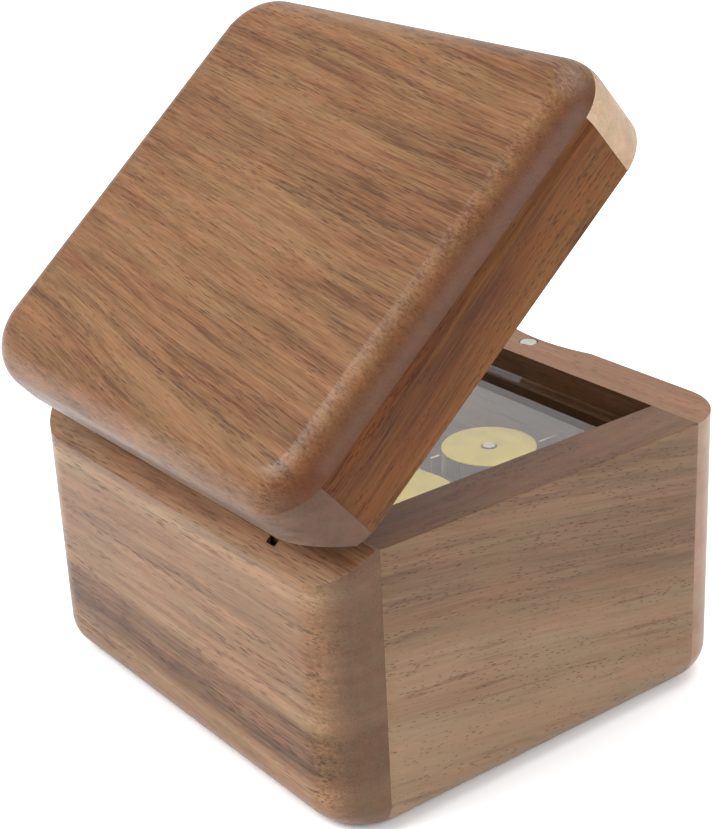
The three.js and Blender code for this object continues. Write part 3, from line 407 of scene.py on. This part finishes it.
WOODS = {
    # its top tint is painted light: the rim and bevel are made lighter and cooler where the lid shades them
    "wall_back": wood("walnut_back", BANDED, pith=(-52, 70), rings=0.13, seed=22.0, streaks=0.35,
                      end=(0.55, 0.55, 0.58), top_tint_and_light=(1.22, 1.25, 1.35)),
    "wall_front": wood("walnut_front", RIM, pith=(40, 78), seed=2.0, streaks=0.4, pores=0.6, fine=0.25,
                       end=(0.95, 1.15, 1.4), top_tint_and_light=(0.95, 0.9, 0.85)),
    "wall_left": wood("walnut_left", GREYED, ACROSS, pith=(58, 30), seed=3.0, streaks=0.3, pore_length=1.6,
                      top_tint_and_light=SIDE_RIM),
    "wall_right": wood("walnut_right", GREYED, ACROSS_DIPPING, pith=(-66, -30), rings=0.07, seed=31.0,
                       streaks=0.25, pores=0.7, pore_length=1.6, fine=0.2, top_tint_and_light=SIDE_RIM),
    "lid_top_panel": wood("walnut_panel", WARM, LID_SLANTED, pith=(30, 14), rings=0.16, seed=5.0,
                          streaks=0.65, pores=0.75, fine=0.75, end=(0.52, 0.37, 0.28)),
    "lid_wall_back": wood("walnut_lid_back", DUSKY, LID_ALONG, pith=(-70, 20), seed=6.0,
                          end=(0.7, 0.68, 0.68)),
    "lid_wall_front": wood("walnut_lid_front", PALE, LID_ALONG, pith=(70, -40), seed=7.0, end=(1, 1, 1)),
    "lid_wall_left": wood("walnut_lid_left", REDDISH, LID_ACROSS, pith=(60, 60), seed=8.0, streaks=0.4,
                          pore_length=1.6, fine=0.3, gloss=0.12),
    "lid_wall_right": wood("walnut_lid_right", REDDISH, LID_ACROSS, pith=(-60, 70), seed=9.0, streaks=0.4,
                           pore_length=1.6, fine=0.3, gloss=0.12),
}
INSIDE = wood("walnut_ledge", BROWN, pith=(20, 60), seed=10.0, gloss=0.1)
INSIDE_ACROSS = wood("walnut_ledge_across", BROWN, ACROSS, pith=(20, 60), seed=11.0, gloss=0.1)
BARE = wood("walnut_bare", RAW, pith=(10, -50), seed=12.0, gloss=0.1, roughness=0.7)
GOLD = metal("gold_plate", (222, 208, 150), 0.2)
GOLD_DISC = metal("gold_plate_polished", (204, 180, 64), 0.14)
BRASS_BRIGHT = metal("brass_tube", (214, 190, 120), 0.24)
BRASS = metal("brass", (196, 164, 96), 0.32)
STEEL = metal("steel", (186, 188, 192), 0.28)
NICKEL = metal("nickel", (196, 192, 180), 0.28)
SPRING = metal("spring_steel", (84, 88, 96), 0.35)
CLEAR = clear("clear_acrylic")


# ---- the case: four walls, whose outline is a rounded rectangle, drawn in at the rounded edges
def steps(start, end, count):
    return [start + (end - start) * i / count for i in range(count + 1)]


def arc(centre_x, centre_y, radius, start, end, count=20):
    turns = steps(start, end, count)
    return [(centre_x + radius * math.cos(a), centre_y + radius * math.sin(a)) for a in turns]


CORNER_X = HALF_WIDTH - CORNER_RADIUS
CORNER_Y = HALF_DEPTH - CORNER_RADIUS


def end_wall(plane, inset):
    """The outline of the front or back wall, from the corner arcs to the inner plane."""
    side = math.copysign(1, plane)
    radius = CORNER_RADIUS - inset
    start = math.asin((abs(plane) - CORNER_Y) / radius)
    right = arc(CORNER_X, CORNER_Y, radius, start, math.pi / 2)
    outline = right + [(-x, y) for x, y in reversed(right)]
    outline += [(-INNER_SIDE, abs(plane)), (INNER_SIDE, abs(plane))]
    return [(x, side * y) for x, y in outline]


def side_wall(side, inset):
    """The outline of the left or right wall, between the front and back walls."""
    radius = CORNER_RADIUS - inset
    back = INNER_BACK + HAIRLINE
    front = INNER_FRONT - HAIRLINE
    outline = arc(CORNER_X, -CORNER_Y, radius, math.asin((back + CORNER_Y) / radius), 0, 6)
    outline += arc(CORNER_X, CORNER_Y, radius, 0, math.asin((front - CORNER_Y) / radius), 4)
    outline += [(INNER_SIDE, front), (INNER_SIDE, back)]
    return [(side * x, y) for x, y in outline]


def full_outline(inset):
    radius = CORNER_RADIUS - inset
    points = []
    for quarter, (sx, sy) in enumerate(((1, 1), (-1, 1), (-1, -1), (1, -1))):
        start = quarter * math.pi / 2
        points += arc(sx * CORNER_X, sy * CORNER_Y, radius, start, start + math.pi / 2)
    return points


def body_levels():
    """(height, inset) pairs up the body's outline, from its rounded lower edge to the rim."""
    turns = steps(math.pi / 2, 0, 14)
    curve = [(BASE_ROUND * (1 - math.sin(a)), BASE_ROUND * (1 - math.cos(a))) for a in turns]
    return curve + [(BODY_HEIGHT, 0.0)]


def lid_levels(bottom, top):
    """(height, inset) pairs up the lid's outline between two heights.

    The rounding meets the flat at a crease.
    """
    centre = LID_HEIGHT - LID_ROUND * math.cos(LID_CREASE)
    heights = [centre + LID_ROUND * math.sin(a) for a in steps(0, math.pi / 2 - LID_CREASE, 18)]
    heights = [bottom] + [z for z in heights if bottom + 0.05 < z < top - 0.05] + [top]
    rises = [max(0.0, z - centre) for z in heights]
    return [(z, LID_ROUND - math.sqrt(LID_ROUND**2 - rise**2)) for z, rise in zip(heights, rises)]


def wall(outline, levels):
    return loft([[(x, y, z) for x, y in outline(inset)] for z, inset in levels])


def on_seam(low, high):
    """Whether a point is on a glued joint: at the base, at the lid panel's seam, or between two walls."""

    def test(p):
        between = min(abs(p.y - INNER_BACK), abs(p.y - INNER_FRONT)) < 0.15
        return p.z < low or p.z > high or (abs(p.x) > INNER_SIDE - 0.1 and between)

    return test


def hinge_slots(z0, z1, half_depth=0.7):
    """Cutters for both hinges' leaves, or with a larger half_depth for their knuckles."""
    return [
        block((side * HINGE_CENTRE - SLOT_HALF_WIDTH, PIVOT[1] - half_depth, z0),
              (side * HINGE_CENTRE + SLOT_HALF_WIDTH, PIVOT[1] + half_depth, z1))
        for side in (-1, 1)
    ]


def back_edge_wedge(level, reach, rise):
    """A wedge on the back edge at a height: reach along the flat face, rise (signed) along the back face."""
    beyond = 2.0
    past = beyond * rise / reach
    side = math.copysign(beyond, -rise)
    back = -HALF_DEPTH - beyond
    front = -HALF_DEPTH + reach + beyond * reach / abs(rise)
    points = [(front, level + side), (back, level + side), (back, level + rise + past)]
    return loft([[(x, y, z) for y, z in points] for x in (-HALF_WIDTH - 1, HALF_WIDTH + 1)])


def finger_scoop():
    """A cutter for the shallow scoop in the front wall's outer top edge, at 45 degrees to it."""
    radius, depth = 50.0, 1.0
    bm = rod(radius, -6, 6, sides=480)
    away = (radius - depth) / math.sqrt(2)
    place = Matrix.Translation((0, HALF_DEPTH + away, BODY_HEIGHT + away))
    bm.transform(place @ Matrix.Rotation(math.pi / 4, 4, "X"))
    return bm


def make_body():
    levels = body_levels()
    seam = on_seam(0.01, 1e3)
    slot_floor = PIVOT[2] - SLOT_DEPTH
    slot_end = HINGE_CENTRE + SLOT_HALF_WIDTH
    notch = block((slot_end - NOTCH_WIDTH, NOTCH_BACK, slot_floor), (slot_end, PIVOT[1], BODY_HEIGHT + 1))
    leaf_slots = hinge_slots(slot_floor, BODY_HEIGHT + 1)
    back = carve(wall(lambda inset: end_wall(INNER_BACK, inset), levels),
                 [back_edge_wedge(BODY_HEIGHT, *BODY_BEVEL), notch, *leaf_slots])
    magnet_hole = rod(MAGNET_HOLE, BODY_HEIGHT - MAGNET_HOLE_DEPTH, BODY_HEIGHT + 1, *MAGNET)
    front = carve(wall(lambda inset: end_wall(INNER_FRONT, inset), levels), [finger_scoop(), magnet_hole])
    parts = {"wall_back": back, "wall_front": front}
    for side, name in ((-1, "wall_left"), (1, "wall_right")):
        parts[name] = wall(lambda inset, side=side: side_wall(side, inset), levels)
    for name, bm in parts.items():
        piece(name + "_wood", soften(bm, EDGE_ROUND, seam), "case", "walnut", WOODS[name], name)


def make_lid():
    seam = on_seam(-1e3, LID_SEAM - 0.1)
    groove = 1.5  # room for the hinges' knuckles
    knuckle_grooves = hinge_slots(-1, groove - LID_GAP / 2, groove)
    leaf_slots = hinge_slots(-1, SLOT_DEPTH - LID_GAP / 2)
    levels = lid_levels(0.0, LID_SEAM - HAIRLINE)
    back = carve(wall(lambda inset: end_wall(INNER_BACK, inset), levels),
                 [back_edge_wedge(0.0, *LID_BEVEL), *knuckle_grooves, *leaf_slots])
    front = carve(wall(lambda inset: end_wall(INNER_FRONT, inset), levels),
                  [rod(MAGNET_HOLE, -1, MAGNET_HOLE_DEPTH, *MAGNET)])
    parts = {"lid_wall_back": back, "lid_wall_front": front}
    for side, name in ((-1, "lid_wall_left"), (1, "lid_wall_right")):
        parts[name] = wall(lambda inset, side=side: side_wall(side, inset), levels)
    parts["lid_top_panel"] = wall(full_outline, lid_levels(LID_SEAM, LID_HEIGHT))
    for name, bm in parts.items():
        soften(bm, EDGE_ROUND, seam)
        piece(name + "_wood", bm, "lid", "walnut", WOODS[name], name, matrix=LID_FRAME)


make_body()
make_lid()


# ---- the movement's round pieces, and the others that a turned or finer shape improves
def middle(node):
    """A CAD node's lowest corner, highest corner and centre, in millimetres."""
    low, high = (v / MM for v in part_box(node))
    return low, high, (low + high) / 2


def upright(x, y, z):
    return Matrix.Translation((x, y, z))


def along_x(x, y, z):
    return Matrix.Translation((x, y, z)) @ Matrix.Rotation(math.pi / 2, 4, "Y")


def cup(radius, depth, thickness, bore):
    """A drum that is open below, with a hole in the middle of its top."""
    outline = [(radius - thickness, -depth), (radius, -depth), (radius, 0), (bore, 0), (bore, -thickness),
               (radius - thickness, -thickness)]
    return lathe(outline, 128)


def make_housing():
    """The spring housing: a drum with two stepped lugs that are screwed to the bedplate."""
    low, high, _ = middle("spring_housing")
    radius, thickness, bore, skirt = 10.4, 0.8, 1.3, 18.6
    lug_start, lug_end, lug_half_width = 12.5, 15.6, 1.8
    lug_floor, lug_top = 20.3, 21.5
    hole_distance, hole_radius = 14, 1.0
    drum = cup(radius, high.z - skirt, thickness, bore)
    lugs = []
    for angle in HOUSING_LUGS:
        turn = Matrix.Rotation(angle, 4, "Z")
        for start, floor in ((radius - thickness / 2, lug_floor), (lug_start, low.z)):
            lug = block((start, -lug_half_width, floor - high.z), (lug_end, lug_half_width, lug_top - high.z))
            lug.transform(turn)
            lugs.append(lug)
    drum = carve(drum, lugs, "UNION")
    holes = []
    for angle in HOUSING_LUGS:
        x, y = hole_distance * math.cos(angle), hole_distance * math.sin(angle)
        holes.append(rod(hole_radius, low.z - high.z - 1, lug_top + 0.5 - high.z, x, y, 24))
    drum = soften(carve(drum, holes), 0.12)
    matrix = upright(*WINDER, high.z)
    piece("spring_housing_drum", drum, "case", "gold_plate", GOLD_DISC, "spring_housing", matrix=matrix)


def make_cap():
    """The governor's cap: the smaller gold disc in the photo."""
    low, high, centre = middle("governor_cap")
    radius, thickness, bore = 7.1, 0.6, 1.2
    bm = soften(cup(radius, high.z - low.z, thickness, bore), 0.12)
    matrix = upright(*centre.xy, high.z)
    piece("governor_cap_disc", bm, "case", "gold_plate", GOLD_DISC, "governor_cap", matrix=matrix)


def make_cylinder():
    """The tube, and its pins: one row for each tooth of the comb."""
    low, high, centre = middle("cylinder")
    length = high.x - low.x
    inner, outer = 5.6, 6.5
    tube = soften(lathe([(inner, 0), (outer, 0), (outer, length), (inner, length)], 128), 0.1)
    matrix = along_x(low.x, centre.y, centre.z)
    piece("cylinder_tube", tube, "cylinder_unit", "gold_plate", BRASS_BRIGHT, "cylinder", matrix=matrix)
    pins = bmesh.new()
    chance = random.Random(18)
    rows, places, pins_in_row = 18, 40, 9
    pin_radius, pin_root, pin_tip = 0.17, 6.4, 7.2
    for row in range(rows):
        for place in sorted(chance.sample(range(places), pins_in_row)):
            turn = 2 * math.pi * (place + 0.5) / places
            pin = rod(pin_radius, pin_root, pin_tip, sides=10)
            spot = Matrix.Rotation(turn, 4, "Z") @ Matrix.Translation((0, 0, length * (row + 0.5) / rows))
            pin.transform(spot @ Matrix.Rotation(math.pi / 2, 4, "Y"))
            add_to(pins, pin)
    piece("cylinder_pins", pins, "cylinder_unit", "steel", STEEL, matrix=matrix)


def add_to(bm, other):
    """Adds the faces of other to bm, and frees other."""
    mesh = bpy.data.meshes.new("scratch")
    other.to_mesh(mesh)
    other.free()
    bm.from_mesh(mesh)
    bpy.data.meshes.remove(mesh)


def make_screw(node, body, material, head_height, shank_radius, down=False):
    """A cheese-head screw with a slot, in the place of a CAD one."""
    low, high, centre = middle(node)
    head = (high.x - low.x) / 2
    length = high.z - low.z - head_height
    outline = [(0, -length), (shank_radius, -length), (shank_radius, 0), (head, 0),
               (head, head_height * 0.72), (head * 0.93, head_height * 0.9), (head * 0.78, head_height),
               (0, head_height)]
    half_slot = 0.16 * head
    slot = block((-head - 1, -half_slot, head_height * 0.5), (head + 1, half_slot, head_height + 1))
    slotted = soften(carve(lathe(outline, 48), [slot]), 0.04)
    matrix = upright(*centre.xy, high.z - head_height)
    if down:
        matrix = upright(*centre.xy, low.z + head_height) @ Matrix.Rotation(math.pi, 4, "X")
    piece(node + "_turned", slotted, body, SLOTS[node], material, node, matrix=matrix)


def make_magnets():
    """The magnet in the rim, and the one in the lid that it meets."""
    length, radius, edge = 3.0, MAGNET_HOLE - 0.05, 0.2
    outline = [(0, 0), (radius - edge, 0), (radius, edge), (radius, length - edge), (radius - edge, length),
               (0, length)]
    place = upright(*MAGNET, BODY_HEIGHT - length)
    piece("body_magnet_disc", lathe(outline, 64), "case", "nickel", NICKEL, "body_magnet", matrix=place)
    place = LID_FRAME @ upright(*MAGNET, 0)
    piece("lid_magnet_disc", lathe(outline, 64), "lid", "nickel", NICKEL, "lid_magnet", matrix=place)


make_housing()
make_cap()
make_cylinder()
make_magnets()
for number in (1, 2, 3):
    make_screw(f"movement_screw_{number}", "case", STEEL, 1.6, 1.1, down=True)
for number in (1, 2):
    make_screw(f"housing_screw_{number}", "case", STEEL, 1.0, 0.75)
    make_screw(f"comb_screw_{number}", "case", BRASS, 1.1, 0.9)
make_screw("bracket_screw", "case", STEEL, 1.0, 0.75)

# ---- CAD pieces whose shape is right, with a finished material and softened edges
KEPT = {
    "bare_wood": BARE, "clear_cover": CLEAR, "gold_plate": GOLD, "brass": BRASS, "steel": STEEL,
    "nickel": NICKEL, "spring_steel": SPRING, "walnut": INSIDE,
}
BY_NAME = {"ledge_left": INSIDE_ACROSS, "ledge_right": INSIDE_ACROSS}
EDGES = {"bare_wood": 0.25, "clear_cover": 0.2, "walnut": 0.15, "nickel": 0.12}
FINE_EDGE = 0.05
for name, obj in frame["nodes"].items():
    obj.data.materials.clear()
    obj.data.materials.append(BY_NAME.get(name, KEPT[SLOTS[name]]))
    edge = obj.modifiers.new("soft edges", "BEVEL")
    edge.width = EDGES.get(SLOTS[name], FINE_EDGE) * MM
    edge.segments = 2
    edge.limit_method = "ANGLE"
    edge.angle_limit = math.radians(35)


# ---- floor, light and camera
def make_stage():
    """A pale floor under an even, slightly cool sky."""
    bm = bmesh.new()
    bmesh.ops.create_grid(bm, x_segments=1, y_segments=1, size=4.0)
    mesh = bpy.data.meshes.new("floor")
    bm.to_mesh(mesh)
    bm.free()
    floor = bpy.data.objects.new("floor", mesh)
    bpy.context.scene.collection.objects.link(floor)
    s = Shader("pale_floor")
    mesh.materials.append(s.out(s.add("BsdfDiffuse", {"Color": (0.93, 0.93, 0.93, 1)}).outputs[0]))

    world = bpy.data.worlds.new("studio")
    bpy.context.scene.world = world
    world.use_nodes = True
    world.node_tree.nodes["Background"].inputs["Color"].default_value = (0.95, 0.97, 1.0, 1)
    world.node_tree.nodes["Background"].inputs["Strength"].default_value = 0.75


def lamp(name, power, size, place, aim, colour=(1, 1, 1)):
    """A rectangular lamp, in watts and metres."""
    data = bpy.data.lights.new(name, "AREA")
    data.energy = power
    data.shape = "RECTANGLE"
    data.size, data.size_y = size
    data.color = colour
    obj = bpy.data.objects.new(name, data)
    bpy.context.scene.collection.objects.link(obj)
    obj.visible_camera = False
    obj.location = place
    obj.rotation_euler = (Vector(aim) - Vector(place)).to_track_quat("-Z", "Y").to_euler()


def make_camera():
    """The photograph's viewpoint: from the back and right, a little above, with a slight roll."""
    data = bpy.data.cameras.new("camera")
    data.sensor_width = 36.0
    data.lens = 79.1
    data.clip_start, data.clip_end = 0.01, 20
    obj = bpy.data.objects.new("camera", data)
    bpy.context.scene.collection.objects.link(obj)
    azimuth, elevation, roll = (math.radians(a) for a in (-36.3, 23.0, 2.9))
    turn = Matrix.Rotation(azimuth, 4, "Z") @ Matrix.Rotation(-elevation, 4, "Y")
    facing = Euler((math.pi / 2, 0, math.pi / 2)).to_matrix().to_4x4()
    aim = Matrix.Translation(Vector((-1.2, -1.5, 40.2)) * MM)
    distance = Matrix.Translation((273 * MM, 0, 0))
    obj.matrix_world = aim @ turn @ distance @ facing @ Matrix.Rotation(-roll, 4, "Z")
    bpy.context.scene.camera = obj


make_stage()
lamp("key", 14, (0.7, 0.7), (-0.35, -0.75, 0.75), (0, 0, 0.05))
lamp("fill", 6, (0.8, 0.6), (0.85, 0.1, 0.55), (0, 0, 0.04))
lamp("top", 5, (0.7, 0.7), (0, 0.3, 0.9), (0, 0, 0.04))
lamp("card", 1.0, (1.2, 0.8), (-0.96, 0.71, 0.55), (0, 0, 0.04), (1.0, 0.86, 0.72))  # what the cover reflects
make_camera()
bpy.context.scene.view_settings.view_transform = "Standard"
